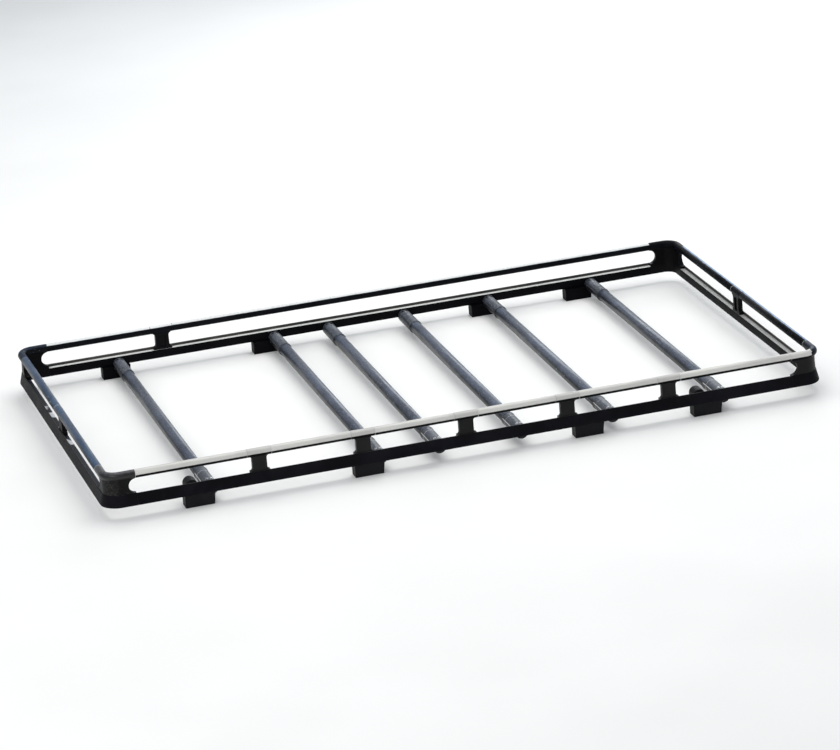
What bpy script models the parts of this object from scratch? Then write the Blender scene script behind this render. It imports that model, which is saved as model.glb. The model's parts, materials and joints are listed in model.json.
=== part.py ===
# Roof cargo basket: a low rectangular tray frame with a round top rail, a
# flared lower rail, cast corners and posts, six round crossbars and eight feet.
# Units are metres.  X runs along the length, Y across, Z up; the feet stand on
# Z = 0 and the origin is the middle of the footprint.
import math

import bmesh
import bpy
from mathutils import Matrix, Vector

# ---------------------------------------------------------------- dimensions
LENGTH = 2.200            # over the lower rails, along X
WIDTH = 1.250             # over the lower rails, along Y
FOOT_DROP = 0.038         # how far the feet hang below the lower rail
FRAME_H = 0.104           # lower rail underside to the top of the top rail
GAP = 0.0003              # clearance between neighbouring pieces

TUBE_R = 0.0125           # top rail tube radius
TUBE_IN = 0.0150          # top rail axis, inward from the outer bottom edge
HEAD_R = 0.0126           # post head radius
TUBE_Z = FRAME_H - HEAD_R  # top rail axis above the lower rail underside

RAIL_D = 0.026            # lower rail depth, outer bottom edge to inner face
LIP_Z = 0.035             # top of the outer lip
LEDGE_Z = 0.027           # recessed ledge behind the lip
LIP_IN = 0.0075           # outer face of the lip at its top
LIP_T = 0.0028            # lip thickness

CORNER_R = 0.055          # plan radius of the outer bottom edge
CORNER_ARM = 0.100        # corner end face, from the outer face of the next side
SLOT_R = (TUBE_Z - TUBE_R - LIP_Z) / 2.0   # rounded ends of the side slots
SLOT_Z = LIP_Z + SLOT_R

POST_W = 0.043            # post width at mid height
POST_FILLET = 0.008
POST_BASE_W = POST_W + 2.0 * POST_FILLET
HEAD_L = 0.071            # length of the post head in line with the tube
POST_OUT = 0.0108         # post outer face
POST_IN = 0.0255          # post inner face

BAR_R = 0.0190
BAR_Z = 0.0030            # bar axis above the lower rail underside
SOCKET_R = 0.0205
COLLAR_R = 0.0214
COLLAR_L = 0.007
SOCKET_L = 0.132

FOOT_W = 0.090
FOOT_OUT = 0.0045         # foot outer face, inward from the outer bottom edge
FOOT_IN = 0.040
BOSS_R = 0.0190           # rounded boss that stands up beside the outer bars' ends
BOSS_TOP = 0.0370
BOSS_LEFT = 0.0090        # boss, inward from the foot's left side
BOSS_Y = (0.0275, 0.0660)

# positions along the length, from the left end
NEAR_POSTS = (0.4650, 0.7750, 1.0870, 1.3980, 1.7130)
FAR_POSTS = (0.4670,)
LEFT_POSTS = (0.6250,)    # across, from the near side
RIGHT_POSTS = (0.6550,)
BARS = (0.3214, 0.8278, 1.0066, 1.2578, 1.5412, 1.8888)
FEET = {                  # foot centre for each bar
    "near": (0.2815, 0.7870, None, None, 1.4600, 1.8300),
    "far": (0.3100, 0.8000, None, None, 1.5250, 1.8450),
}
BOSSED = ("foot_near_1", "foot_near_6")   # feet that carry a boss beside the bar

# ---------------------------------------------------------------- housekeeping
for ob in list(bpy.data.objects):
    bpy.data.objects.remove(ob, do_unlink=True)
for col in list(bpy.data.collections):
    bpy.data.collections.remove(col)

COL = bpy.data.collections.new("roof_cargo_basket")
bpy.context.scene.collection.children.link(COL)


def material(name, rgb, metallic, rough):
    m = bpy.data.materials.new(name)
    m.use_nodes = True
    b = m.node_tree.nodes["Principled BSDF"]
    b.inputs["Base Color"].default_value = (rgb[0], rgb[1], rgb[2], 1.0)
    b.inputs["Metallic"].default_value = metallic
    b.inputs["Roughness"].default_value = rough
    m.diffuse_color = (rgb[0], rgb[1], rgb[2], 1.0)
    return m


LOOKS = {
    "light_tube": ((0.62, 0.62, 0.59), 0.9, 0.35),
    "dark_tube": ((0.020, 0.022, 0.028), 0.0, 0.30),
    "casting": ((0.018, 0.018, 0.020), 0.0, 0.45),
    "rail": ((0.014, 0.014, 0.016), 0.0, 0.42),
    "bar": ((0.050, 0.056, 0.070), 0.0, 0.35),
    "socket": ((0.035, 0.040, 0.050), 0.0, 0.40),
    "foot": ((0.012, 0.012, 0.013), 0.0, 0.50),
}


# ---------------------------------------------------------------- mesh helpers
def add_object(name, mesh, collection=None):
    ob = bpy.data.objects.new(name, mesh)
    (collection or bpy.context.scene.collection).objects.link(ob)
    return ob


def drop(ob):
    data = ob.data
    bpy.data.objects.remove(ob, do_unlink=True)
    if isinstance(data, bpy.types.Mesh):
        bpy.data.meshes.remove(data)
    elif isinstance(data, bpy.types.Curve):
        bpy.data.curves.remove(data)


def baked(ob):
    """Mesh of the evaluated object, welded, with outward normals."""
    bpy.context.view_layer.update()
    dg = bpy.context.evaluated_depsgraph_get()
    mesh = bpy.data.meshes.new_from_object(ob.evaluated_get(dg))
    bm = bmesh.new()
    bm.from_mesh(mesh)
    bmesh.ops.remove_doubles(bm, verts=bm.verts, dist=1e-5)
    bmesh.ops.recalc_face_normals(bm, faces=bm.faces)
    bm.to_mesh(mesh)
    bm.free()
    mesh.transform(ob.matrix_world)
    return mesh


def boolean(a, b, op):
    """Combine object b into object a and drop b."""
    mod = a.modifiers.new("b", "BOOLEAN")
    mod.object = b
    mod.operation = op
    mod.solver = "EXACT"
    mesh = baked(a)
    a.modifiers.clear()
    old = a.data
    a.data = mesh
    a.matrix_world = Matrix.Identity(4)
    bpy.data.meshes.remove(old)
    drop(b)
    return a


def poly_curve(points, dims, cyclic):
    cu = bpy.data.curves.new("c", "CURVE")
    cu.dimensions = dims
    sp = cu.splines.new("POLY")
    sp.points.add(len(points) - 1)
    for p, q in zip(sp.points, points):
        p.co = (q[0], q[1], q[2] if len(q) > 2 else 0.0, 1.0)
    sp.use_cyclic_u = cyclic
    return cu


def plate(points, y0, y1):
    """Flat outline in X-Z, extruded from y0 to y1."""
    cu = poly_curve(points, "2D", True)
    cu.fill_mode = "BOTH"
    cu.extrude = abs(y1 - y0) / 2.0
    ob = add_object("plate", cu)
    ob.matrix_world = Matrix.Translation((0, (y0 + y1) / 2.0, 0)) @ Matrix.Rotation(math.pi / 2.0, 4, "X")
    mesh = baked(ob)
    drop(ob)
    return add_object("plate", mesh)


def sweep(path, outline):
    """Closed outline (sideways, up) carried along a level path."""
    prof = add_object("prof", poly_curve(outline, "2D", True))
    cu = poly_curve(path, "3D", False)
    cu.twist_mode = "Z_UP"
    cu.bevel_mode = "OBJECT"
    cu.bevel_object = prof
    cu.use_fill_caps = True
    ob = add_object("path", cu)
    mesh = baked(ob)
    drop(ob)
    drop(prof)
    return add_object("sweep", mesh)


def tube(path, radius, sides=20):
    """Round bar along a path, as a bevelled curve with filled ends."""
    cu = poly_curve(path, "3D", False)
    cu.twist_mode = "Z_UP"
    cu.bevel_depth = radius
    cu.bevel_resolution = max(2, sides // 4 - 1)
    cu.use_fill_caps = True
    ob = add_object("tube", cu)
    mesh = baked(ob)
    drop(ob)
    return add_object("tube", mesh)


def cylinder(centre, radius, length, axis, sides=24):
    rot = {"X": Matrix.Rotation(math.pi / 2.0, 4, "Y"),
           "Y": Matrix.Rotation(math.pi / 2.0, 4, "X"),
           "Z": Matrix.Identity(4)}[axis]
    bm = bmesh.new()
    bmesh.ops.create_cone(bm, cap_ends=True, cap_tris=False, segments=sides,
                          radius1=radius, radius2=radius, depth=length,
                          matrix=Matrix.Translation(centre) @ rot)
    mesh = bpy.data.meshes.new("cyl")
    bm.to_mesh(mesh)
    bm.free()
    return add_object("cyl", mesh)


def box(lo, hi):
    bm = bmesh.new()
    size = [hi[i] - lo[i] for i in range(3)]
    mid = [(hi[i] + lo[i]) / 2.0 for i in range(3)]
    bmesh.ops.create_cube(bm, size=1.0, matrix=Matrix.Translation(mid) @ Matrix.Diagonal((*size, 1.0)))
    mesh = bpy.data.meshes.new("box")
    bm.to_mesh(mesh)
    bm.free()
    return add_object("box", mesh)


def finish(ob, name, look, matrix):
    """Name, colour and shade one finished piece, and set where it stands."""
    mesh = ob.data
    ob.matrix_world = matrix
    mesh.materials.clear()
    rgb, metallic, rough = LOOKS[look]
    mesh.materials.append(material(name + "_mat", rgb, metallic, rough))
    for p in mesh.polygons:
        p.material_index = 0
    mesh.shade_smooth()
    mesh.set_sharp_from_angle(angle=math.radians(32.0))
    ob.name = name
    mesh.name = name
    for c in list(ob.users_collection):
        c.objects.unlink(ob)
    COL.objects.link(ob)
    return ob


# --------------------------------------------------------------- side frames
# Each side is drawn in its own frame: local X runs along the side, local +Y
# points inward from the outer bottom edge and local Z is up from the lower
# rail underside.
LIFT = Matrix.Translation((0, 0, FOOT_DROP))
SIDE = {
    "near": LIFT @ Matrix.Translation((-LENGTH / 2, -WIDTH / 2, 0)),
    "far": LIFT @ Matrix.Translation((LENGTH / 2, WIDTH / 2, 0)) @ Matrix.Rotation(math.pi, 4, "Z"),
    "left": LIFT @ Matrix.Translation((-LENGTH / 2, WIDTH / 2, 0)) @ Matrix.Rotation(-math.pi / 2, 4, "Z"),
    "right": LIFT @ Matrix.Translation((LENGTH / 2, -WIDTH / 2, 0)) @ Matrix.Rotation(math.pi / 2, 4, "Z"),
}
SPAN = {"near": LENGTH, "far": LENGTH, "left": WIDTH, "right": WIDTH}

# outer flare shared by the lower rail and the corners: (inward, up)
FLARE = [(0.0, 0.0), (0.0, 0.0040), (0.0022, 0.0120), (0.0045, 0.0210), (0.0064, 0.0290), (LIP_IN, LIP_Z)]

RAIL_OUTLINE = FLARE + [
    (LIP_IN + LIP_T, LIP_Z), (LIP_IN + LIP_T, LEDGE_Z),
    (RAIL_D - 0.0008, LEDGE_Z), (RAIL_D, LEDGE_Z - 0.0008), (RAIL_D, 0.0)]

WALL_OUTLINE = FLARE + [
    (0.0090, 0.0450), (0.0100, 0.0560), (0.0105, 0.0680), (0.0105, 0.0880),
    (0.0200, 0.0880), (0.0212, 0.0620), (0.0232, 0.0400), (RAIL_D, 0.0240), (RAIL_D, 0.0)]


def about_tube_axis(outline, flip):
    s = -1.0 if flip else 1.0
    return [(s * (u - TUBE_IN), z - TUBE_Z) for u, z in outline]


# ---------------------------------------------------------------- lower rails
def lower_rail(side):
    a, b = CORNER_ARM + GAP, SPAN[side] - CORNER_ARM - GAP
    ob = plate([(u, z) for u, z in RAIL_OUTLINE], a, b)
    # the plate is drawn with its outline in X-Z: turn it so X becomes inward
    ob.data.transform(Matrix(((0, 1, 0, 0), (1, 0, 0, 0), (0, 0, 1, 0), (0, 0, 0, 1))))
    ob.data.flip_normals()
    return finish(ob, f"lower_rail_{side}", "rail", SIDE[side])


for side in SIDE:
    lower_rail(side)

# -------------------------------------------------------------------- corners
ARC_STEPS = 9


def corner_path(radius_in):
    c = CORNER_R
    r = CORNER_R - radius_in
    pts = [(CORNER_ARM, radius_in, TUBE_Z)]
    for i in range(ARC_STEPS + 1):
        t = -math.pi / 2 - (math.pi / 2) * i / ARC_STEPS
        pts.append((c + r * math.cos(t), c + r * math.sin(t), TUBE_Z))
    pts.append((radius_in, CORNER_ARM, TUBE_Z))
    return pts


def corner(name, matrix):
    wall = sweep(corner_path(TUBE_IN), about_tube_axis(WALL_OUTLINE, CORNER_FLIP))
    rail = tube(corner_path(TUBE_IN), TUBE_R, 20)
    boolean(wall, rail, "UNION")
    for k in (0, 1):
        cut = cylinder((CORNER_ARM + 0.0015, 0.013, SLOT_Z), SLOT_R, 0.060, "Y", 24)
        if k:
            cut.data.transform(Matrix(((0, 1, 0, 0), (1, 0, 0, 0), (0, 0, 1, 0), (0, 0, 0, 1))))
            cut.data.flip_normals()
        boolean(wall, cut, "DIFFERENCE")
    return finish(wall, name, "casting", matrix)


CORNER_FLIP = False
probe = sweep(corner_path(TUBE_IN), about_tube_axis(WALL_OUTLINE, False))
CORNER_FLIP = min(v.co.x for v in probe.data.vertices) < -0.001 or \
    min(v.co.x for v in probe.data.vertices) > 0.001
drop(probe)

corner("corner_near_left", SIDE["near"])
corner("corner_near_right", SIDE["right"])
corner("corner_far_right", SIDE["far"])
corner("corner_far_left", SIDE["left"])


# ------------------------------------------------------------ posts and tubes
def post(name, side, at):
    h, f = POST_W / 2, POST_FILLET
    lo, hi = LEDGE_Z + GAP, TUBE_Z - 0.004
    z0, z1 = LIP_Z + 0.0005, TUBE_Z - HEAD_R + 0.001
    right = [(h + f, lo), (h + f, z0)]
    for i in range(1, 5):
        t = math.pi / 2 * i / 4
        right.append((h + f - f * math.sin(t), z0 + f - f * math.cos(t)))
    for i in range(0, 5):
        t = math.pi / 2 * i / 4
        right.append((h + f - f * math.cos(t), z1 - f + f * math.sin(t)))
    right.append((h + f, hi))
    outline = right + [(-x, z) for x, z in reversed(right)]
    ob = plate(outline, POST_OUT, POST_IN)
    head = cylinder((0, TUBE_IN, TUBE_Z), HEAD_R, HEAD_L, "X", 20)
    boolean(ob, head, "UNION")
    g = POST_W / 2 - 0.0095
    groove = box((-g, POST_IN - 0.0042, LEDGE_Z + 0.006), (g, POST_IN + 0.010, TUBE_Z - HEAD_R - 0.003))
    boolean(ob, groove, "DIFFERENCE")
    return finish(ob, name, "casting", SIDE[side] @ Matrix.Translation((at, 0, 0)))


def top_tube(name, side, a, b, look):
    ob = cylinder((0, 0, 0), TUBE_R, b - a, "X", 20)
    return finish(ob, name, look, SIDE[side] @ Matrix.Translation(((a + b) / 2, TUBE_IN, TUBE_Z)))


def along(side, values):
    """Positions measured from the left end or near side, in side coordinates."""
    if side in ("far", "left"):
        return sorted(SPAN[side] - v for v in values)
    return sorted(values)


POSTS = {"near": NEAR_POSTS, "far": FAR_POSTS, "left": LEFT_POSTS, "right": RIGHT_POSTS}
for side, values in POSTS.items():
    places = along(side, values)
    look = "light_tube" if side == "near" else "dark_tube"
    start = CORNER_ARM + GAP
    for i, at in enumerate(places):
        post(f"post_{side}_{i + 1}", side, at)
        top_tube(f"top_tube_{side}_{i + 1}", side, start, at - HEAD_L / 2 - GAP, look)
        start = at + HEAD_L / 2 + GAP
    top_tube(f"top_tube_{side}_{len(places) + 1}", side, start, SPAN[side] - CORNER_ARM - GAP, look)


# ------------------------------------------------------ crossbars and sockets
def to_world(x, y, z):
    return Vector((x - LENGTH / 2, y - WIDTH / 2, z + FOOT_DROP))


for i, x in enumerate(BARS):
    n = i + 1
    y0 = RAIL_D + GAP
    y1 = y0 + SOCKET_L
    bar = cylinder((0, 0, 0), BAR_R, WIDTH - 2 * (y1 + GAP), "Y", 24)
    finish(bar, f"crossbar_{n}", "bar", Matrix.Translation(to_world(x, WIDTH / 2, BAR_Z)))
    for side, turn in (("near", 0.0), ("far", math.pi)):
        mid = (y0 + y1) / 2
        sock = cylinder((0, 0, 0), SOCKET_R, SOCKET_L, "Y", 24)
        ring = cylinder((0, SOCKET_L / 2 - COLLAR_L / 2 - 0.002, 0), COLLAR_R, COLLAR_L, "Y", 24)
        boolean(sock, ring, "UNION")
        at = to_world(x, mid if side == "near" else WIDTH - mid, BAR_Z)
        finish(sock, f"bar_socket_{side}_{n}", "socket",
               Matrix.Translation(at) @ Matrix.Rotation(turn, 4, "Z"))


# ----------------------------------------------------------------------- feet
def foot(name, x, bar_x, side):
    w = FOOT_W / 2
    z0, z1 = -FOOT_DROP, -GAP
    outline = [(-w + 0.0010, z0), (w - 0.0050, z0), (w - 0.0040, z0 + 0.0010), (w, z1),
               (-w, z1), (-w, z0 + 0.0010)]
    body = plate(outline, FOOT_OUT, FOOT_IN)
    if name in BOSSED:
        # rounded boss beside the bar end, standing up behind the rail
        cx = -w + BOSS_LEFT + BOSS_R
        cz = BOSS_TOP - BOSS_R
        arc = [(cx - BOSS_R, -0.010)]
        for i in range(0, 9):
            t = math.pi - math.pi * i / 8
            arc.append((cx + BOSS_R * math.cos(t), cz + BOSS_R * math.sin(t)))
        arc.append((cx + BOSS_R, -0.010))
        boolean(body, plate(arc, BOSS_Y[0], BOSS_Y[1]), "UNION")
    if bar_x - SOCKET_R - GAP < x + w:
        # saddle that the socket lies in, behind the rail
        y0 = RAIL_D + GAP / 2
        saddle = cylinder((bar_x - x, y0 + 0.020, BAR_Z), SOCKET_R + GAP, 0.040, "Y", 24)
        boolean(body, saddle, "DIFFERENCE")
    at = to_world(x, 0, 0)
    if side == "far":
        # the far foot is the near one mirrored across the tray
        body.data.transform(Matrix.Diagonal((1.0, -1.0, 1.0, 1.0)))
        body.data.flip_normals()
        at = to_world(x, WIDTH, 0)
    return finish(body, name, "foot", Matrix.Translation(at))


for side, places in FEET.items():
    for i, fx in enumerate(places):
        if fx is not None:
            foot(f"foot_{side}_{i + 1}", fx, BARS[i], side)
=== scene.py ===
import json
import math

import bmesh
import bpy
from mathutils import Matrix, Vector

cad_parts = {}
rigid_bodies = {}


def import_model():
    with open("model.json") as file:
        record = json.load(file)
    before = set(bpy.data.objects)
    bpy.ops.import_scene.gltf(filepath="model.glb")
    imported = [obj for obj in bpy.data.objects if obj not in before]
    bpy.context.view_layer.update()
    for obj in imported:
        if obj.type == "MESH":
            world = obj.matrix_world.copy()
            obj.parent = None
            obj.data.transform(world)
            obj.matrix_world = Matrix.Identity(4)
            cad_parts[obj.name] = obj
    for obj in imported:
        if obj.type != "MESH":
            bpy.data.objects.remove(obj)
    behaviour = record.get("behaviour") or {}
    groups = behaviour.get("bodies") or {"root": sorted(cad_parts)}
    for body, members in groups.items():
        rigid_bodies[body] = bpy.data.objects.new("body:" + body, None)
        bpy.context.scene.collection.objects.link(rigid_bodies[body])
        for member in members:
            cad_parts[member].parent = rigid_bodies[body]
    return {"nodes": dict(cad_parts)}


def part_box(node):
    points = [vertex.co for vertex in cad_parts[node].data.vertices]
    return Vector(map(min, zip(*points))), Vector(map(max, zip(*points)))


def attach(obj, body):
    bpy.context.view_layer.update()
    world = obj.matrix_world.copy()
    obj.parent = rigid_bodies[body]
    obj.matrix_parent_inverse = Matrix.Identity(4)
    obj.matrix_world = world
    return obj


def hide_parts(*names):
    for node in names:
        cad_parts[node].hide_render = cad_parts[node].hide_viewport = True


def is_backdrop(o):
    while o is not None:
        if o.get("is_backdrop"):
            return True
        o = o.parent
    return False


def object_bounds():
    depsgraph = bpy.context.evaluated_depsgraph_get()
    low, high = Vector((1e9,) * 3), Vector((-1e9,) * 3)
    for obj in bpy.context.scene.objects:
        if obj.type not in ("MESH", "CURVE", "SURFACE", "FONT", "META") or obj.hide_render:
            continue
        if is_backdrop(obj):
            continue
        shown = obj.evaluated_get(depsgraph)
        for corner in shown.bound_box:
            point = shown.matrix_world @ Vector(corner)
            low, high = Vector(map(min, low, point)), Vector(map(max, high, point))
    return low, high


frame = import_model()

CAD_LO, CAD_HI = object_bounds()

# ------------------------------------------------------------------ sizes
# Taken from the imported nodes, so that every new piece sits where the frame is.
rail_lo, rail_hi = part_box("lower_rail_near")
tube_lo, tube_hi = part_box("top_tube_near_1")
post_lo, post_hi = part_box("post_near_1")
LENGTH = CAD_HI.x - CAD_LO.x
WIDTH = CAD_HI.y - CAD_LO.y
FOOT_DROP = rail_lo.z
LIP_Z = rail_hi.z - rail_lo.z
RAIL_D = rail_hi.y - rail_lo.y
TUBE_R = (tube_hi.z - tube_lo.z) / 2.0
TUBE_IN = (tube_hi.y + tube_lo.y) / 2.0 - rail_lo.y
TUBE_Z = (tube_hi.z + tube_lo.z) / 2.0 - FOOT_DROP
HEAD_R = (post_hi.z - FOOT_DROP) - TUBE_Z
HEAD_L = post_hi.x - post_lo.x
LEDGE_Z = 0.027
LIP_IN, LIP_T = 0.0075, 0.0028
CORNER_R, CORNER_ARM = 0.055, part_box("corner_near_left")[1].x - CAD_LO.x
SLOT_R = (TUBE_Z - TUBE_R - LIP_Z) / 2.0
SLOT_Z = LIP_Z + SLOT_R
POST_W, POST_FILLET, POST_OUT, POST_IN = 0.043, 0.008, 0.0108, 0.0255

LIFT = Matrix.Translation((0, 0, FOOT_DROP))
SIDE = {
    "near": LIFT @ Matrix.Translation((-LENGTH / 2, -WIDTH / 2, 0)),
    "far": LIFT @ Matrix.Translation((LENGTH / 2, WIDTH / 2, 0)) @ Matrix.Rotation(math.pi, 4, "Z"),
    "left": LIFT @ Matrix.Translation((-LENGTH / 2, WIDTH / 2, 0)) @ Matrix.Rotation(-math.pi / 2, 4, "Z"),
    "right": LIFT @ Matrix.Translation((LENGTH / 2, -WIDTH / 2, 0)) @ Matrix.Rotation(math.pi / 2, 4, "Z"),
}
SWAP_XY = Matrix(((0, 1, 0, 0), (1, 0, 0, 0), (0, 0, 1, 0), (0, 0, 0, 1)))


# -------------------------------------------------------------- materials
class Nodes:
    """Short way to wire a node tree."""

    def __init__(self, name):
        self.mat = bpy.data.materials.new(name)
        self.mat.use_nodes = True
        self.t = self.mat.node_tree
        self.bsdf = self.t.nodes["Principled BSDF"]
        self.coord = self.t.nodes.new("ShaderNodeTexCoord").outputs["Object"]

    def put(self, node, socket, value):
        s = node.inputs[socket]
        if isinstance(value, bpy.types.NodeSocket):
            self.t.links.new(value, s)
        elif isinstance(value, (tuple, list)) and len(value) == 3 and s.type == "RGBA":
            s.default_value = (*value, 1.0)
        else:
            s.default_value = value

    def noise(self, scale, detail=4.0, rough=0.55, stretch=None, distort=0.0):
        n = self.t.nodes.new("ShaderNodeTexNoise")
        self.put(n, "Scale", scale)
        self.put(n, "Detail", detail)
        self.put(n, "Roughness", rough)
        self.put(n, "Distortion", distort)
        self.put(n, "Vector", self.mapped(stretch) if stretch else self.coord)
        return n.outputs["Fac"]

    def mapped(self, scale):
        m = self.t.nodes.new("ShaderNodeMapping")
        self.put(m, "Vector", self.coord)
        self.put(m, "Scale", scale)
        return m.outputs["Vector"]

    def ramp(self, value, lo, hi, a=0.0, b=1.0):
        m = self.t.nodes.new("ShaderNodeMapRange")
        m.interpolation_type = "SMOOTHSTEP"
        for s, v in (("Value", value), ("From Min", lo), ("From Max", hi), ("To Min", a), ("To Max", b)):
            self.put(m, s, v)
        return m.outputs["Result"]

    def math(self, op, a, b=0.0):
        m = self.t.nodes.new("ShaderNodeMath")
        m.operation = op
        self.put(m, 0, a)
        self.put(m, 1, b)
        return m.outputs[0]

    def mix(self, fac, a, b, blend="MIX"):
        m = self.t.nodes.new("ShaderNodeMix")
        m.data_type = "RGBA"
        m.blend_type = blend
        self.put(m, 0, fac)
        self.put(m, 6, a)
        self.put(m, 7, b)
        return m.outputs[2]

    def height(self):
        s = self.t.nodes.new("ShaderNodeSeparateXYZ")
        self.put(s, 0, self.coord)
        return s.outputs[2]

    def bump(self, value, strength, distance, normal=None):
        b = self.t.nodes.new("ShaderNodeBump")
        self.put(b, "Strength", strength)
        self.put(b, "Distance", distance)
        self.put(b, "Height", value)
        if normal is not None:
            self.put(b, "Normal", normal)
        return b.outputs["Normal"]

    def drops(self, scale, keep, size):
        """Round beads: 1 at a bead's middle falling to 0 at its edge, in a random part of the cells."""
        v = self.t.nodes.new("ShaderNodeTexVoronoi")
        v.feature = "F1"
        self.put(v, "Vector", self.coord)
        self.put(v, "Scale", scale)
        self.put(v, "Randomness", 1.0)
        bead = self.ramp(v.outputs["Distance"], 0.0, size, 1.0, 0.0)
        sep = self.t.nodes.new("ShaderNodeSeparateColor")
        self.put(sep, 0, v.outputs["Color"])
        pick = self.math("LESS_THAN", sep.outputs[0], keep)
        return self.math("MULTIPLY", bead, pick)

    def edge(self, radius=0.0012):
        """1 on a sharp edge, 0 on flat or gently curved surface."""
        b = self.t.nodes.new("ShaderNodeBevel")
        b.samples = 4
        self.put(b, "Radius", radius)
        g = self.t.nodes.new("ShaderNodeNewGeometry")
        d = self.t.nodes.new("ShaderNodeVectorMath")
        d.operation = "DOT_PRODUCT"
        self.put(d, 0, b.outputs["Normal"])
        self.put(d, 1, g.outputs["Normal"])
        return self.ramp(d.outputs["Value"], 0.90, 0.995, 1.0, 0.0)


def paint(name, base, light, rough, peel=1.0, wear=0.5, spec=0.5, coat=0.0, beads_and_glints=0.0, wear_rgb=(0.20, 0.20, 0.21), dust=0.25, dust_rgb=(0.10, 0.10, 0.105), sheen_and_shade=None):
    """Powder-coated or painted metal: mottled colour, orange peel, worn edges and dust, with painted highlight on the
    faces turned one way, painted shade on the others, and painted glints on water drops.
    """
    n = Nodes(name)
    big = n.noise(7.0, 5.0, 0.6)
    fine = n.noise(160.0, 3.0, 0.6)
    col = n.mix(n.ramp(big, 0.35, 0.72), base, light)
    streak = n.noise(22.0, 6.0, 0.7, stretch=(1.0, 1.0, 0.35), distort=0.4)
    col = n.mix(n.math("MULTIPLY", n.ramp(streak, 0.55, 0.80), dust), col, dust_rgb)
    if sheen_and_shade:
        # painted highlight: a sky reflection painted on the faces turned one way, upward unless given; its rim wanders
        # a little
        g = n.t.nodes.new("ShaderNodeNewGeometry")
        up = n.t.nodes.new("ShaderNodeVectorMath")
        up.operation = "DOT_PRODUCT"
        n.put(up, 0, g.outputs["Normal"])
        up.inputs[1].default_value = sheen_and_shade[3] if len(sheen_and_shade) > 3 else (0.0, 0.0, 1.0)
        span = 0.16 * min(1.0, (sheen_and_shade[2] - sheen_and_shade[1]) * 2.0)
        wander = n.ramp(n.noise(34.0, 5.0, 0.65), 0.2, 0.8, -span, span)
        lay = n.ramp(n.math("ADD", up.outputs["Value"], wander), sheen_and_shade[1], sheen_and_shade[2])
        grain = n.ramp(n.noise(210.0, 4.0, 0.7), 0.45, 0.75)
        if sheen_and_shade[0][0] > 0.25:
            grain = n.math("SUBTRACT", 1.0, n.math("MULTIPLY", grain, 0.25))
        # a dark painted colour also darkens the faces turned away: painted shade
        if sheen_and_shade[0][0] < 0.5:
            col = n.mix(lay, tuple(c * 0.16 for c in base), col)
        col = n.mix(n.math("MULTIPLY", lay, grain), col, sheen_and_shade[0])
    worn = 0.0
    if wear:
        chip = n.ramp(n.noise(90.0, 5.0, 0.7), 0.50, 0.62)
        worn = n.math("MULTIPLY", n.math("MULTIPLY", n.edge(), chip), wear)
        col = n.mix(worn, col, wear_rgb)
    r = n.math("ADD", n.ramp(big, 0.2, 0.8, rough - 0.06, rough + 0.07), n.ramp(fine, 0.3, 0.7, -0.03, 0.03))
    r = n.math("ADD", r, n.math("MULTIPLY", n.ramp(streak, 0.5, 0.8), 0.12))
    nrm = n.bump(n.noise(900.0, 2.0, 0.5), 0.10 * peel, 0.0006)
    nrm = n.bump(fine, 0.10 * peel, 0.0012, nrm)
    if beads_and_glints:
        b1 = n.drops(150.0, 0.34, 0.34)
        b2 = n.drops(330.0, 0.45, 0.36)
        b0 = n.drops(62.0, 0.20, 0.17)
        b = n.math("MAXIMUM", n.math("MAXIMUM", b1, b0), n.math("MULTIPLY", b2, 0.6))
        nrm = n.bump(b, 0.9, 0.0016, nrm)
        # painted highlight: bead middles, and the larger beads in patches, are painted near-white as glints on the
        # water drops; their bumps and gloss are real
        glint = n.ramp(b1, 0.62, 0.95)
        col = n.mix(n.math("MULTIPLY", glint, beads_and_glints), col, (0.62, 0.66, 0.72))
        patch = n.ramp(n.noise(2.6, 2.0, 0.5), 0.42, 0.62)
        col = n.mix(n.math("MULTIPLY", n.math("MULTIPLY", n.ramp(b0, 0.25, 0.6), patch), beads_and_glints), col, (0.88, 0.92, 0.98))
        wet = n.ramp(b, 0.15, 0.4)
        r = n.math("SUBTRACT", r, n.math("MULTIPLY", wet, 0.22))
    n.put(n.bsdf, "Base Color", col)
    n.put(n.bsdf, "Roughness", r)
    if wear:
        n.put(n.bsdf, "Metallic", n.math("MULTIPLY", worn, 0.6))
    n.put(n.bsdf, "Normal", nrm)
    n.put(n.bsdf, "Specular IOR Level", spec)
    if coat:
        n.put(n.bsdf, "Coat Weight", coat)
        n.put(n.bsdf, "Coat Roughness", 0.12)
    return n.mat


def reflection_and_shade_tone(name, top, under, split, soft, rough):
    """Painted sky reflection over the top of a tube, pale with brushed grain and grime, and painted shade along its
    underside, black.
    """
    n = Nodes(name)
    h = n.height()
    brushed = n.noise(30.0, 6.0, 0.65, stretch=(1.0, 60.0, 60.0))
    blotch = n.noise(9.0, 5.0, 0.6)
    light = n.mix(n.ramp(blotch, 0.3, 0.7), tuple(c * 0.93 for c in top), tuple(min(1.0, c * 1.04) for c in top))
    light = n.mix(n.math("MULTIPLY", n.ramp(brushed, 0.35, 0.75), 0.16), light, tuple(c * 0.72 for c in top))
    grime = n.math("MULTIPLY", n.ramp(n.noise(70.0, 6.0, 0.75), 0.60, 0.78), 0.35)
    light = n.mix(grime, light, (0.30, 0.29, 0.28))
    ragged = n.math("ADD", h, n.ramp(n.noise(260.0, 3.0, 0.6), 0.2, 0.8, -0.0004, 0.0004))
    k = n.ramp(ragged, split - soft, split + soft)
    n.put(n.bsdf, "Base Color", n.mix(k, under, light))
    n.put(n.bsdf, "Metallic", n.math("MULTIPLY", k, 0.15))
    r = n.math("ADD", n.ramp(brushed, 0.2, 0.8, rough - 0.08, rough + 0.08), n.math("MULTIPLY", grime, 0.3))
    n.put(n.bsdf, "Roughness", r)
    nrm = n.bump(brushed, 0.12, 0.0006)
    nrm = n.bump(n.noise(700.0, 2.0, 0.5), 0.08, 0.0005, nrm)
    n.put(n.bsdf, "Normal", nrm)
    n.put(n.bsdf, "Specular IOR Level", n.ramp(k, 0.0, 1.0, 0.05, 0.30))
    return n.mat


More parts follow.
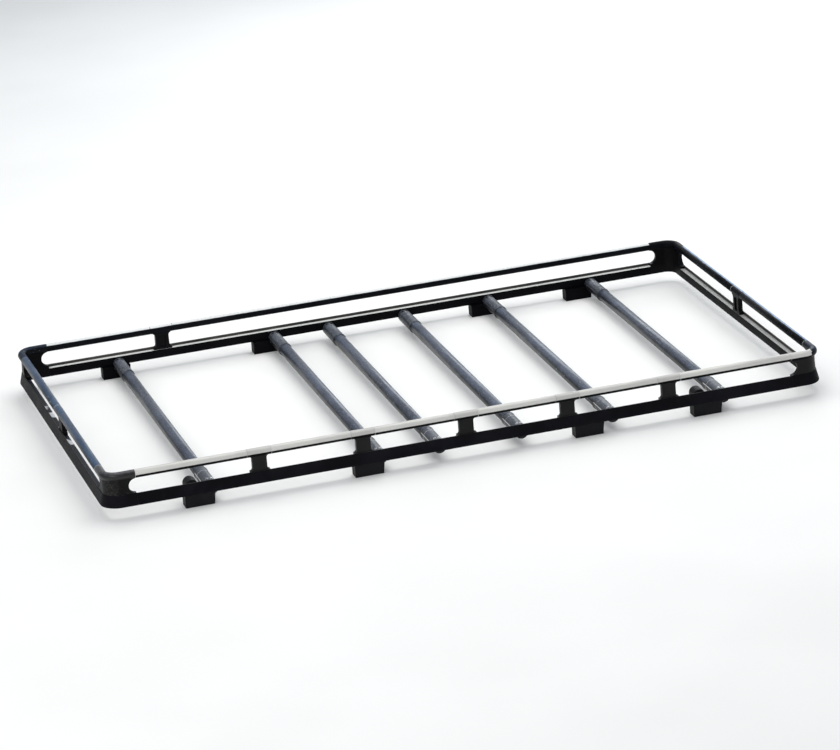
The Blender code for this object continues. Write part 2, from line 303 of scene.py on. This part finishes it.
TUBE_AXIS = FOOT_DROP + TUBE_Z
SPLIT = TUBE_AXIS - 0.0014
M = {
    # near tubes and post heads: pale painted sky reflection over the top, black painted shade along the underside
    "light_tube": reflection_and_shade_tone("sky_reflection_tube_satin", (0.60, 0.595, 0.57), (0.002, 0.002, 0.003), SPLIT, 0.0009, 0.42),
    "sky_reflection_head": reflection_and_shade_tone("sky_reflection_head_satin", (0.52, 0.515, 0.495), (0.002, 0.002, 0.003), SPLIT, 0.0009, 0.46),
    # black tube with a pale painted highlight, a sky reflection, along its top
    "dark_tube": paint("dark_tube_gloss", (0.0025, 0.003, 0.0045), (0.005, 0.006, 0.009), 0.36, peel=0.6, wear=0.15, spec=0.05, dust=0.05, dust_rgb=(0.02, 0.02, 0.024),
                       sheen_and_shade=((0.78, 0.80, 0.80), 0.60, 0.70)),
    # left tubes tinted navy-blue, lighter on the upper faces, as painted sky reflection; right tubes black with a
    # pale-blue painted reflection on the outer upper side; both darken their other faces as painted shade
    "side_tube": paint("sky_tinted_tube_wet", (0.022, 0.042, 0.082), (0.058, 0.092, 0.150), 0.36, peel=0.8, wear=0.2, spec=0.18, coat=0.04, beads_and_glints=0.9, dust=0.10,
                       sheen_and_shade=((0.044, 0.092, 0.205), 0.20, 0.90)),
    "right_tube": paint("sky_edge_tube_wet", (0.010, 0.014, 0.022), (0.022, 0.030, 0.046), 0.40, peel=0.8, wear=0.2, spec=0.04, beads_and_glints=0.2, dust=0.06,
                        sheen_and_shade=((0.30, 0.40, 0.56), 0.42, 0.66, (0.80, 0.0, 0.60))),
    "black_corner": paint("corner_tube_black", (0.0025, 0.003, 0.0045), (0.005, 0.006, 0.009), 0.40, peel=0.8, wear=0.15, spec=0.05, dust=0.05, dust_rgb=(0.02, 0.02, 0.024)),
    # navy tint on the bent tube is a painted sky reflection, a little lighter on the upper faces, with painted shade
    # below
    "sky_tinted_corner": paint("corner_tube_sky_tinted", (0.007, 0.013, 0.028), (0.016, 0.027, 0.052), 0.40, peel=1.0, wear=0.3, spec=0.10, beads_and_glints=0.4, dust=0.12,
                         sheen_and_shade=((0.014, 0.026, 0.056), 0.45, 0.95)),
    "casting": paint("casting_satin", (0.007, 0.007, 0.007), (0.014, 0.0137, 0.0133), 0.44, peel=2.0, wear=0.45, spec=0.12, dust=0.16, dust_rgb=(0.05, 0.048, 0.046)),
    # near-left casting: faces turned toward the front left are lightened as painted light, the others darkened as
    # painted shade; its dust matches the other castings
    "casting_front_lit": paint("casting_front_lit_corner", (0.006, 0.006, 0.006), (0.012, 0.0118, 0.0115), 0.46, peel=2.2, wear=0.45, spec=0.12, dust=0.16, dust_rgb=(0.05, 0.048, 0.046),
                           sheen_and_shade=((0.052, 0.050, 0.046), 0.72, 1.0, (-0.62, -0.78, 0.0))),
    # darker copy of the casting finish: painted shade on inward faces, sleeve grooves and the posts away from the near
    # side
    "casting_shaded": paint("casting_inner_shaded", (0.003, 0.003, 0.0035), (0.006, 0.006, 0.007), 0.46, peel=2.0, wear=0.20, spec=0.06, dust=0.08, dust_rgb=(0.02, 0.02, 0.02)),
    # near-left bent tube: lighter grey with a painted highlight on the upper faces and painted shade below
    "corner_tube": paint("corner_tube_lit_grey", (0.018, 0.018, 0.023), (0.045, 0.044, 0.054), 0.40, peel=1.2, wear=0.4, spec=0.40, coat=0.10, dust=0.20,
                         sheen_and_shade=((0.12, 0.12, 0.14), 0.35, 0.95)),
    "rail": paint("rail_satin", (0.0048, 0.0048, 0.0064), (0.0105, 0.0105, 0.0138), 0.46, peel=1.0, wear=0.30, spec=0.03, dust=0.10, dust_rgb=(0.04, 0.04, 0.043)),
    # darker copy of the rail finish: painted shade on inward faces below the ledge and on the far feet
    "rail_dark": paint("rail_inner_black", (0.0022, 0.0022, 0.003), (0.0045, 0.0045, 0.006), 0.50, peel=1.0, wear=0.15, spec=0.04, dust=0.06, dust_rgb=(0.02, 0.02, 0.022)),
    # lip: a lighter taupe than the rail on the lip's top, and on the inner lip faces away from the near side
    "lip": paint("lip_top_taupe", (0.030, 0.028, 0.026), (0.075, 0.070, 0.064), 0.46, peel=1.0, wear=0.0, spec=0.25, dust=0.30, dust_rgb=(0.16, 0.15, 0.14)),
    # bars: painted highlight on the upper faces, painted shade below, and painted glints on the droplets
    "bar": paint("bar_wet_paint", (0.024, 0.033, 0.056), (0.066, 0.084, 0.126), 0.36, peel=1.2, wear=0.3, spec=0.34, coat=0.12, beads_and_glints=0.9, dust=0.20,
                 sheen_and_shade=((0.165, 0.195, 0.270), 0.25, 0.90)),
    # sleeves: painted highlight on the upper faces, painted shade below, and painted glints on the droplets
    "socket": paint("socket_paint", (0.030, 0.036, 0.050), (0.074, 0.085, 0.110), 0.40, peel=1.4, wear=0.8, spec=0.32, beads_and_glints=0.55, dust=0.30, wear_rgb=(0.45, 0.46, 0.48),
                    sheen_and_shade=((0.20, 0.22, 0.26), 0.20, 0.85)),
    "foot": paint("foot_black", (0.005, 0.005, 0.006), (0.011, 0.011, 0.013), 0.52, peel=2.4, wear=0.30, spec=0.10, dust=0.12, dust_rgb=(0.05, 0.05, 0.05)),
    # ledge faces: pale painted sky reflection on the upward face; the right side uses a greyer copy as painted shade
    "ledge": paint("ledge_sky_reflection", (0.88, 0.89, 0.87), (0.94, 0.95, 0.92), 0.50, peel=0.8, wear=0.0, spec=0.3, dust=0.15, dust_rgb=(0.45, 0.45, 0.44)),
    "ledge_grey": paint("ledge_grey_sheen_and_shade", (0.30, 0.30, 0.295), (0.46, 0.46, 0.45), 0.50, peel=0.8, wear=0.0, spec=0.3, dust=0.15, dust_rgb=(0.14, 0.14, 0.14)),
    # pale metal: bare metal at the tube ends, and a painted highlight on the near sleeve band and bead
    "seam_and_highlight": paint("seam_and_highlight_metal", (0.55, 0.56, 0.58), (0.68, 0.69, 0.70), 0.34, peel=0.6, wear=0.0, spec=0.4, dust=0.25, dust_rgb=(0.25, 0.25, 0.25)),
    "bolt": paint("bolt_plated", (0.62, 0.63, 0.64), (0.74, 0.75, 0.76), 0.26, peel=0.8, wear=0.0, spec=0.5, dust=0.2, dust_rgb=(0.30, 0.30, 0.30)),
    "bolt_black": paint("bolt_blacked", (0.006, 0.006, 0.007), (0.014, 0.014, 0.016), 0.42, peel=0.8, wear=0.3, spec=0.30, dust=0.2),
}


def shadowed_patchy_ledge():
    """Ledge darkened by the tube's painted shadow, with the pale painted sky reflection left only in scattered long
    patches.
    """
    n = Nodes("ledge_shadowed_patchy")
    a = n.ramp(n.noise(6.5, 2.0, 0.5, stretch=(1.0, 1.0, 1.0)), 0.585, 0.60)
    b = n.ramp(n.noise(40.0, 4.0, 0.65, stretch=(1.0, 0.6, 1.0)), 0.42, 0.50)
    k = n.math("MULTIPLY", a, b)
    grain = n.noise(150.0, 4.0, 0.6)
    dark = n.mix(grain, (0.004, 0.005, 0.008), (0.014, 0.017, 0.028))
    pale = n.mix(grain, (0.44, 0.46, 0.50), (0.74, 0.75, 0.77))
    n.put(n.bsdf, "Base Color", n.mix(k, dark, pale))
    n.put(n.bsdf, "Roughness", n.ramp(grain, 0.2, 0.8, 0.40, 0.58))
    n.put(n.bsdf, "Specular IOR Level", 0.12)
    n.put(n.bsdf, "Normal", n.bump(grain, 0.2, 0.0008))
    return n.mat


M["ledge_shadowed_patchy"] = shadowed_patchy_ledge()
for key in ("bolt",):
    M[key].node_tree.nodes["Principled BSDF"].inputs["Metallic"].default_value = 1.0
    for l in list(M[key].node_tree.links):
        if l.to_socket.name == "Metallic":
            M[key].node_tree.links.remove(l)


# ------------------------------------------------------------ mesh helpers
def add_object(name, data):
    ob = bpy.data.objects.new(name, data)
    bpy.context.scene.collection.objects.link(ob)
    return ob


def drop(ob):
    data = ob.data
    bpy.data.objects.remove(ob, do_unlink=True)
    if isinstance(data, bpy.types.Mesh):
        bpy.data.meshes.remove(data)
    else:
        bpy.data.curves.remove(data)


def baked(ob, weld=1e-5):
    bpy.context.view_layer.update()
    dg = bpy.context.evaluated_depsgraph_get()
    mesh = bpy.data.meshes.new_from_object(ob.evaluated_get(dg))
    bm = bmesh.new()
    bm.from_mesh(mesh)
    bmesh.ops.remove_doubles(bm, verts=bm.verts, dist=weld)
    bmesh.ops.recalc_face_normals(bm, faces=bm.faces)
    bm.to_mesh(mesh)
    bm.free()
    mesh.transform(ob.matrix_world)
    return mesh


def boolean(a, b, op):
    mod = a.modifiers.new("b", "BOOLEAN")
    mod.object = b
    mod.operation = op
    mod.solver = "EXACT"
    mesh = baked(a)
    a.modifiers.clear()
    old = a.data
    a.data = mesh
    a.matrix_world = Matrix.Identity(4)
    bpy.data.meshes.remove(old)
    drop(b)
    return a


def poly_curve(points, dims, cyclic):
    cu = bpy.data.curves.new("c", "CURVE")
    cu.dimensions = dims
    sp = cu.splines.new("POLY")
    sp.points.add(len(points) - 1)
    for p, q in zip(sp.points, points):
        p.co = (q[0], q[1], q[2] if len(q) > 2 else 0.0, 1.0)
    sp.use_cyclic_u = cyclic
    return cu


def plate(points, y0, y1):
    cu = poly_curve(points, "2D", True)
    cu.fill_mode = "BOTH"
    cu.extrude = abs(y1 - y0) / 2.0
    ob = add_object("plate", cu)
    ob.matrix_world = Matrix.Translation((0, (y0 + y1) / 2.0, 0)) @ Matrix.Rotation(math.pi / 2.0, 4, "X")
    mesh = baked(ob)
    drop(ob)
    return add_object("plate", mesh)


def sweep(path, outline):
    prof = add_object("prof", poly_curve(outline, "2D", True))
    cu = poly_curve(path, "3D", False)
    cu.twist_mode = "Z_UP"
    cu.bevel_mode = "OBJECT"
    cu.bevel_object = prof
    cu.use_fill_caps = True
    ob = add_object("path", cu)
    mesh = baked(ob)
    drop(ob)
    drop(prof)
    return add_object("sweep", mesh)


def lathe(profile, matrix, seg=48):
    """Closed solid of revolution about local X from (along, radius) pairs."""
    bm = bmesh.new()
    rings = []
    for a, r in profile:
        if r < 1e-7:
            rings.append([bm.verts.new((a, 0, 0))])
        else:
            rings.append([bm.verts.new((a, r * math.cos(2 * math.pi * i / seg), r * math.sin(2 * math.pi * i / seg)))
                          for i in range(seg)])
    for p, q in zip(rings, rings[1:]):
        for i in range(seg):
            j = (i + 1) % seg
            if len(p) == 1:
                bm.faces.new((p[0], q[j], q[i]))
            elif len(q) == 1:
                bm.faces.new((p[i], p[j], q[0]))
            else:
                bm.faces.new((p[i], p[j], q[j], q[i]))
    bmesh.ops.recalc_face_normals(bm, faces=bm.faces)
    mesh = bpy.data.meshes.new("lathe")
    bm.to_mesh(mesh)
    bm.free()
    mesh.transform(matrix)
    return add_object("lathe", mesh)


def chamfered(length, r, c, grooves=()):
    """Profile of a round bar with chamfered ends, and shallow turned grooves at the given places."""
    h = length / 2
    pts = [(-h, 0.0), (-h, r - c), (-h + c * 0.45, r - c * 0.3), (-h + c, r)]
    for g in sorted(grooves):
        pts += [(g - 0.0009, r), (g - 0.0004, r - 0.0006), (g + 0.0004, r - 0.0006), (g + 0.0009, r)]
    pts += [(h - c, r), (h - c * 0.45, r - c * 0.3), (h, r - c), (h, 0.0)]
    return pts


def soften(ob, width, segments=2, angle=34.0):
    """Rounded edges, baked into the mesh."""
    mod = ob.modifiers.new("bevel", "BEVEL")
    mod.width = width
    mod.segments = segments
    mod.limit_method = "ANGLE"
    mod.angle_limit = math.radians(angle)
    mod.use_clamp_overlap = True
    mod.miter_outer = "MITER_ARC"
    mesh = baked(ob, 2e-6)
    ob.modifiers.clear()
    old = ob.data
    ob.data = mesh
    bpy.data.meshes.remove(old)
    return ob


def finish_piece(ob, name, mats, nodes=(), matrix=None, sharp=38.0, weighted=True):
    mesh = ob.data
    if matrix is not None:
        mesh.transform(matrix)
    mesh.materials.clear()
    for m in (mats if isinstance(mats, (list, tuple)) else [mats]):
        mesh.materials.append(m)
    mesh.shade_smooth()
    mesh.set_sharp_from_angle(angle=math.radians(sharp))
    ob.name = name
    mesh.name = name
    if weighted:
        wn = ob.modifiers.new("normals", "WEIGHTED_NORMAL")
        wn.keep_sharp = True
        wn.weight = 60
    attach(ob, "root")
    if nodes:
        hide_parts(*nodes)
    return ob


def long_axis(lo, hi):
    d = hi - lo
    return 0 if d.x >= d.y and d.x >= d.z else (1 if d.y >= d.z else 2)


def along(axis):
    return {0: Matrix.Identity(4), 1: Matrix.Rotation(math.pi / 2, 4, "Z"), 2: Matrix.Rotation(-math.pi / 2, 4, "Y")}[axis]


NODES = sorted(frame["nodes"])

# ------------------------------------------------------------- lower rails
FLARE = [(0.0006, 0.0), (0.0, 0.0008), (0.0, 0.0040), (0.0010, 0.0078), (0.0022, 0.0120), (0.0034, 0.0165),
         (0.0045, 0.0210), (0.0055, 0.0250), (0.0064, 0.0290), (0.0071, 0.0325), (LIP_IN, LIP_Z - 0.0010)]
RAIL_OUTLINE = FLARE + [
    (LIP_IN + 0.0004, LIP_Z - 0.0003), (LIP_IN + 0.0010, LIP_Z), (LIP_IN + LIP_T - 0.0010, LIP_Z),
    (LIP_IN + LIP_T - 0.0003, LIP_Z - 0.0003), (LIP_IN + LIP_T, LIP_Z - 0.0010), (LIP_IN + LIP_T, LEDGE_Z + 0.0008),
    (LIP_IN + LIP_T + 0.0008, LEDGE_Z), (RAIL_D - 0.0010, LEDGE_Z), (RAIL_D - 0.0003, LEDGE_Z - 0.0003),
    (RAIL_D, LEDGE_Z - 0.0010), (RAIL_D, 0.0008), (RAIL_D - 0.0008, 0.0)]

for side in SIDE:
    node = f"lower_rail_{side}"
    lo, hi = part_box(node)
    ax = long_axis(lo, hi)
    span = (hi - lo)[ax]
    a = CORNER_ARM + 0.0003
    ob = plate(RAIL_OUTLINE, a, a + span)
    ob.data.transform(SWAP_XY)
    ob.data.flip_normals()
    # left ledge in painted shadow, right ledge greyer as painted shade, the others with the pale painted sky reflection
    ledge = M[{"left": "ledge_shadowed_patchy", "right": "ledge_grey"}.get(side, "ledge")]
    finish_piece(ob, "rail_" + side, [M["rail"], ledge, M["rail_dark"], M["lip"]], [node], SIDE[side], weighted=False, sharp=28.0)
    inward = SIDE[side].to_3x3() @ Vector((0, 1, 0))
    for p in ob.data.polygons:
        z = p.center.z - FOOT_DROP
        if p.normal.z > 0.9 and abs(z - LEDGE_Z) < 0.0006:
            p.material_index = 1
        # inward faces below the ledge: painted shade
        elif p.normal.dot(inward) > 0.9 and z < LEDGE_Z:
            p.material_index = 2
        elif z > LEDGE_Z and p.normal.dot(inward) > -0.2 and side != "near":
            p.material_index = 3
        elif z > LIP_Z - 0.0006 and side == "near":
            p.material_index = 3

# ----------------------------------------------------------------- corners
WALL_OUTLINE = FLARE[:-1] + [
    (LIP_IN - 0.0001, LIP_Z - 0.0010), (LIP_IN + 0.0004, LIP_Z - 0.0001), (0.0091, LIP_Z + 0.0004), (0.0094, 0.0400), (0.0097, 0.0450),
    (0.0100, 0.0505), (0.0102, 0.0560), (0.0104, 0.0620), (0.0105, 0.0680),
    (0.0105, 0.0740), (0.0102, 0.0775), (0.0098, 0.0805), (0.0098, 0.0880),
    (0.0205, 0.0880), (0.0204, 0.0800), (0.0206, 0.0740), (0.0212, 0.0620), (0.0222, 0.0500), (0.0232, 0.0400),
    (0.0247, 0.0310), (RAIL_D, 0.0240), (RAIL_D, 0.0008), (RAIL_D - 0.0008, 0.0)]
ARC = 20


def corner_path():
    r = CORNER_R - TUBE_IN
    pts = [(CORNER_ARM, TUBE_IN, TUBE_Z)]
    for i in range(ARC + 1):
        t = -math.pi / 2 - (math.pi / 2) * i / ARC
        pts.append((CORNER_R + r * math.cos(t), CORNER_R + r * math.sin(t), TUBE_Z))
    pts.append((TUBE_IN, CORNER_ARM, TUBE_Z))
    return pts


def wall_outline(flip):
    s = -1.0 if flip else 1.0
    return [(s * (u - TUBE_IN), z - TUBE_Z) for u, z in WALL_OUTLINE]


probe = sweep(corner_path(), wall_outline(False))
FLIP = abs(min(v.co.x for v in probe.data.vertices)) > 0.001
drop(probe)
CORNERS = {"near_left": "near", "near_right": "right", "far_right": "far", "far_left": "left"}

wall = sweep(corner_path(), wall_outline(FLIP))
cu = poly_curve(corner_path(), "3D", False)
cu.twist_mode = "Z_UP"
cu.bevel_depth = TUBE_R
cu.bevel_resolution = 9
cu.use_fill_caps = True
pipe_curve = add_object("pipe", cu)
pipe = add_object("pipe_mesh", baked(pipe_curve))
drop(pipe_curve)
boolean(wall, pipe, "UNION")
for k in (0, 1):
    m = Matrix.Translation((CORNER_ARM + 0.0015, 0.013, SLOT_Z)) @ Matrix.Rotation(math.pi / 2, 4, "Z")
    cut = lathe([(-0.03, 0.0), (-0.03, SLOT_R), (0.03, SLOT_R), (0.03, 0.0)], m, 56)
    if k:
        cut.data.transform(SWAP_XY)
        cut.data.flip_normals()
    boolean(wall, cut, "DIFFERENCE")
soften(wall, 0.0009, 2, 36.0)
corner_mesh = wall.data
for label, side in CORNERS.items():
    ob = add_object("corner", corner_mesh.copy())
    mat = M["casting"]
    finish_piece(ob, "corner_cast_" + label, [M["casting_front_lit" if label == "near_left" else "casting"],
                  M[{"near_left": "corner_tube", "far_left": "sky_tinted_corner", "near_right": "sky_tinted_corner"}.get(label, "black_corner")],
                  M["light_tube"], M["casting_shaded"], M["rail"]], ["corner_" + label], SIDE[side])
    # the bent tube along the top of the casting has the tube's own finish, in a copy per corner lit differently:
    # painted reflection, highlight and shade
    for p in ob.data.polygons:
        c = p.center
        if c.z > FOOT_DROP + TUBE_Z - TUBE_R * 0.995:
            p.material_index = 1
            # the near-right corner's tube top by the near side carries the same painted sky reflection and shade as the
            # near tubes
            if label == "near_right" and c.x < CAD_HI.x - 0.034 and c.y < CAD_LO.y + 0.05:
                p.material_index = 2
        # faces turned inward: painted shade
        elif p.normal.x * c.x < -0.3 * abs(c.x) or p.normal.y * c.y < -0.3 * abs(c.y):
            p.material_index = 3
        elif c.z < FOOT_DROP + LIP_Z + 0.0002:
            p.material_index = 4
drop(wall)

# ------------------------------------------------------------------- posts
def post_outline():
    h, f = POST_W / 2, POST_FILLET
    lo, hi = LEDGE_Z + 0.0003, TUBE_Z - 0.004
    z0, z1 = LIP_Z + 0.0005, TUBE_Z - HEAD_R + 0.001
    right = [(h + f, lo), (h + f, z0)]
    n = 10
    for i in range(1, n):
        t = math.pi / 2 * i / n
        right.append((h + f - f * math.sin(t), z0 + f - f * math.cos(t)))
    for i in range(0, n):
        t = math.pi / 2 * i / n
        right.append((h + f - f * math.cos(t), z1 - f + f * math.sin(t)))
    right.append((h + f, hi))
    return right + [(-x, z) for x, z in reversed(right)]


web = plate(post_outline(), POST_OUT, POST_IN)
head = lathe(chamfered(HEAD_L, HEAD_R, 0.0009), Matrix.Translation((0, TUBE_IN, TUBE_Z)), 48)
boolean(web, head, "UNION")
g = POST_W / 2 - 0.0095
gz0, gz1 = LEDGE_Z + 0.006, TUBE_Z - HEAD_R - 0.003
gr = 0.0045
ring = []
for cx, cz, t0 in ((g - gr, gz1 - gr, 0.0), (-g + gr, gz1 - gr, 90.0), (-g + gr, gz0 + gr, 180.0), (g - gr, gz0 + gr, 270.0)):
    for i in range(7):
        t = math.radians(t0 + 90.0 * i / 6)
        ring.append((cx + gr * math.cos(t), cz + gr * math.sin(t)))
groove = plate(ring, POST_IN - 0.0042, POST_IN + 0.010)
boolean(web, groove, "DIFFERENCE")
soften(web, 0.0009, 2, 36.0)
post_mesh = web.data
for node in NODES:
    if not node.startswith("post_"):
        continue
    side = node.split("_")[1]
    lo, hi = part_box(node)
    mid = (lo + hi) / 2
    local = SIDE[side].inverted() @ Vector((mid.x, mid.y, 0))
    ob = add_object("post", post_mesh.copy())
    near = side == "near"
    # posts away from the near side take the darker casting copy as painted shade
    finish_piece(ob, node + "_cast", [M["casting"] if near else M["casting_shaded"], M[{"near": "sky_reflection_head", "left": "side_tube", "right": "right_tube"}.get(side, "dark_tube")]], [node],
                 SIDE[side] @ Matrix.Translation((local.x, 0, 0)))
    for p in ob.data.polygons:
        if p.center.z > FOOT_DROP + TUBE_Z - HEAD_R * 0.93:
            p.material_index = 1
drop(web)

# --------------------------------------------------------------- top tubes
for node in NODES:
    if not node.startswith("top_tube_"):
        continue
    lo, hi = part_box(node)
    ax = long_axis(lo, hi)
    mid = (lo + hi) / 2
    span = (hi - lo)[ax]
    ob = lathe(chamfered(span, TUBE_R, 0.0008), Matrix.Translation(mid) @ along(ax), 48)
    near = "_near_" in node
    slot = "light_tube" if near else "dark_tube"
    look = "side_tube" if "_left_" in node else ("right_tube" if "_right_" in node else slot)
    finish_piece(ob, node + "_bar", [M[look], M["seam_and_highlight"]], [node], weighted=False, sharp=40.0)
    if near or look != slot:
        # bare metal shows at the cut ends of the lengths
        h = span / 2
        for p in ob.data.polygons:
            d = abs((p.center - mid)[ax])
            if h - 0.0009 < d < h - 0.0001:
                p.material_index = 1

# ------------------------------------------------------- bars and sockets
for node in NODES:
    lo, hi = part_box(node)
    mid = (lo + hi) / 2
    if node.startswith("crossbar_"):
        r = (hi.x - lo.x) / 2
        ob = lathe(chamfered(hi.y - lo.y, r, 0.0008), Matrix.Translation(mid) @ along(1), 56)
        finish_piece(ob, node + "_tube", M["bar"], [node], weighted=False, sharp=40.0)
    elif node.startswith("bar_socket_"):
        collar = (hi.x - lo.x) / 2
        r = collar - 0.0009
        h = (hi.y - lo.y) / 2
        e = h - 0.002
        band = h - 0.0360
        prof = [(-h, 0.0), (-h, r - 0.0012), (-h + 0.0005, r - 0.0004), (-h + 0.0014, r),
                (-h + 0.0250, r), (-h + 0.0254, r - 0.0005), (-h + 0.0266, r - 0.0005), (-h + 0.0270, r),
                (band, r), (band + 0.0002, r + 0.0003), (band + 0.0011, r + 0.0003), (band + 0.0013, r),
                (band + 0.0016, r - 0.0005), (band + 0.0029, r - 0.0005), (band + 0.0032, r),
                (e - 0.0072, r), (e - 0.0068, collar - 0.0003), (e - 0.0060, collar), (e - 0.0012, collar), (e - 0.0003, collar - 0.0004),
                (e, r - 0.0002), (h - 0.0006, r - 0.0004), (h, r - 0.0012), (h, 0.0)]
        turn = Matrix.Identity(4) if "_near_" in node else Matrix.Rotation(math.pi, 4, "Z")
        ob = lathe(prof, Matrix.Translation(mid) @ turn @ along(1), 56)
        finish_piece(ob, node + "_sleeve", [M["socket"], M["seam_and_highlight"], M["casting_shaded"]], [node], weighted=False, sharp=34.0)
        if "_near_" in node:
            # a turned band painted pale as bare metal with a painted highlight, with its groove behind it darkened as
            # painted shade
            for p in ob.data.polygons:
                d = p.center.y - mid.y
                if band - 0.0001 < d < band + 0.0013:
                    p.material_index = 1
                elif band + 0.0013 < d < band + 0.0032:
                    p.material_index = 2
        # two cap screws with hex recesses near the sleeve's outer end
        near = "_near_" in node
        s = 1.0 if near else -1.0
        for k, tilt in ((1, -0.34), (2, 0.34)):
            at = Vector((mid.x + r * math.sin(tilt), mid.y - s * (h - (0.026 if near else 0.014)), mid.z + r * math.cos(tilt)))
            stand = Matrix.Translation(at) @ Matrix.Rotation(tilt, 4, "Y") @ along(2)
            screw = lathe([(-0.0024, 0.0), (-0.0024, 0.0047), (-0.0002, 0.0047), (-0.0001, 0.0037), (0.0016, 0.0037), (0.0021, 0.0033), (0.0023, 0.0022), (0.0023, 0.0)],
                          stand, 32)
            bit = lathe([(0.0008, 0.0), (0.0008, 0.0019), (0.0060, 0.0019), (0.0060, 0.0)], stand, 6)
            boolean(screw, bit, "DIFFERENCE")
            finish_piece(screw, f"{node}_screw_{k}", M["bolt" if near else "bolt_black"], weighted=False, sharp=30.0)
        # lengthwise weld bead down the sleeve's left side
        tilt = math.radians(-72.0)
        bead = lathe(chamfered(2 * h - 0.014, 0.0010, 0.0005), Matrix.Translation((mid.x + (r + 0.0001) * math.sin(tilt), mid.y - s * 0.004, mid.z + (r + 0.0001) * math.cos(tilt))) @ along(1), 16)
        # on the near sleeves the bead is painted pale: a painted highlight
        finish_piece(bead, node + "_bead", M["seam_and_highlight" if near else "socket"], weighted=False, sharp=30.0)

# -------------------------------------------------------------------- feet
BOSS_R, BOSS_LEFT, BOSS_Y = 0.0190, 0.0090, (0.0275, 0.0660)
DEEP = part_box("foot_near_2")[1].y - CAD_LO.y      # inner face of the block, in from the outer edge

for node in NODES:
    if not node.startswith("foot_"):
        continue
    lo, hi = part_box(node)
    w = (hi.x - lo.x) / 2
    x = (lo.x + hi.x) / 2
    z0, z1 = -FOOT_DROP, -0.0003
    body = plate([(-w + 0.0010, z0), (w - 0.0050, z0), (w - 0.0040, z0 + 0.0010), (w, z1), (-w, z1), (-w, z0 + 0.0010)],
                 0.0045, DEEP)
    if hi.z > FOOT_DROP + 0.010:
        cx, cz = -w + BOSS_LEFT + BOSS_R, (hi.z - FOOT_DROP) - BOSS_R
        arc = [(cx - BOSS_R, -0.010)]
        for i in range(0, 25):
            t = math.pi - math.pi * i / 24
            arc.append((cx + BOSS_R * math.cos(t), cz + BOSS_R * math.sin(t)))
        arc.append((cx + BOSS_R, -0.010))
        boolean(body, plate(arc, BOSS_Y[0], BOSS_Y[1]), "UNION")
    s_lo, s_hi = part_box(node.replace("foot_", "bar_socket_"))
    sx, sz, sr = (s_lo.x + s_hi.x) / 2 - x, (s_lo.z + s_hi.z) / 2 - FOOT_DROP, (s_hi.x - s_lo.x) / 2 - 0.0006
    if sx - sr < w:
        # saddle that the sleeve lies in, behind the rail
        y0 = RAIL_D + 0.00015
        saddle = lathe([(0.0, 0.0), (0.0, sr), (0.040, sr), (0.040, 0.0)], Matrix.Translation((sx, y0, sz)) @ along(1), 48)
        boolean(body, saddle, "DIFFERENCE")
    soften(body, 0.0011, 2, 34.0)
    me = body.data
    y = CAD_LO.y
    if "_far_" in node:
        me.transform(Matrix.Diagonal((1.0, -1.0, 1.0, 1.0)))
        me.flip_normals()
        y = CAD_HI.y
    # far feet take the darker rail copy as painted shade
    finish_piece(body, node + "_block", M["foot" if "_near_" in node else "rail_dark"], [node], Matrix.Translation((x, y, FOOT_DROP)))

# ------------------------------------------------------------------- stage
bm = bmesh.new()
bmesh.ops.create_grid(bm, x_segments=8, y_segments=8, size=30.0)
fm = bpy.data.meshes.new("floor")
bm.to_mesh(fm)
bm.free()
fm.transform(Matrix.Translation((0, 0, -0.0002)))
floor = add_object("floor", fm)
f = Nodes("floor_pale")
fn = f.noise(1.5, 2.0, 0.5)
f.put(f.bsdf, "Base Color", f.mix(f.ramp(fn, 0.3, 0.7), (0.90, 0.90, 0.895), (0.93, 0.93, 0.925)))
f.put(f.bsdf, "Roughness", 0.9)
f.put(f.bsdf, "Specular IOR Level", 0.1)
fm.materials.append(f.mat)
floor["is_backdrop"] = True

world = bpy.data.worlds.new("studio")
bpy.context.scene.world = world
world.use_nodes = True
bg = world.node_tree.nodes["Background"]
bg.inputs["Color"].default_value = (0.93, 0.965, 1.0, 1.0)
bg.inputs["Strength"].default_value = 0.55


def area(name, loc, target, size, size_y, power, color=(1, 1, 1)):
    d = bpy.data.lights.new(name, "AREA")
    d.shape = "RECTANGLE"
    d.size = size
    d.size_y = size_y
    d.energy = power
    d.color = color
    o = add_object(name, d)
    o.location = loc
    o.rotation_euler = (Vector(target) - Vector(loc)).to_track_quat("-Z", "Y").to_euler()
    return o


area("overhead", (0.3, 0.6, 4.2), (0, 0, 0), 5.0, 3.5, 125.0, (1.0, 0.99, 0.97))
area("front_left", (-3.4, -4.0, 2.6), (0, 0, 0), 3.0, 2.0, 60.0, (1.0, 0.985, 0.96))
area("back_right", (2.6, 4.2, 2.2), (0, 0, 0), 3.5, 2.0, 75.0, (0.92, 0.96, 1.0))

# ------------------------------------------------------------------ camera
yaw, pitch, roll = math.radians(15.4408), math.radians(19.4458), math.radians(-4.6138)
base = Matrix(((1, 0, 0), (0, 0, -1), (0, 1, 0)))
rz = Matrix(((math.cos(yaw), -math.sin(yaw), 0), (math.sin(yaw), math.cos(yaw), 0), (0, 0, 1)))
rx = Matrix(((1, 0, 0), (0, math.cos(pitch), -math.sin(pitch)), (0, math.sin(pitch), math.cos(pitch))))
rr = Matrix(((math.cos(roll), -math.sin(roll), 0), (math.sin(roll), math.cos(roll), 0), (0, 0, 1)))
R = rr @ rx @ base @ rz
cam = bpy.data.cameras.new("camera")
cam.sensor_fit = "HORIZONTAL"
cam.sensor_width = 36.0
cam.lens = 3909.97 / 840.0 * 36.0
cam.clip_start = 0.1
cam.clip_end = 200.0
cam_ob = add_object("camera", cam)
m = Matrix((R[0], -R[1], -R[2])).transposed().to_4x4()
m.translation = Vector((-1.86402 - LENGTH / 2, -10.21229 - WIDTH / 2, 3.98267 + FOOT_DROP))
cam_ob.matrix_world = m
bpy.context.scene.camera = cam_ob
bpy.context.scene.view_settings.view_transform = "Standard"

# ------------------------------------------------------------------ wrap up
for o in list(bpy.context.scene.objects):
    if o.type == "CURVE":
        drop(o)
lo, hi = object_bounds()
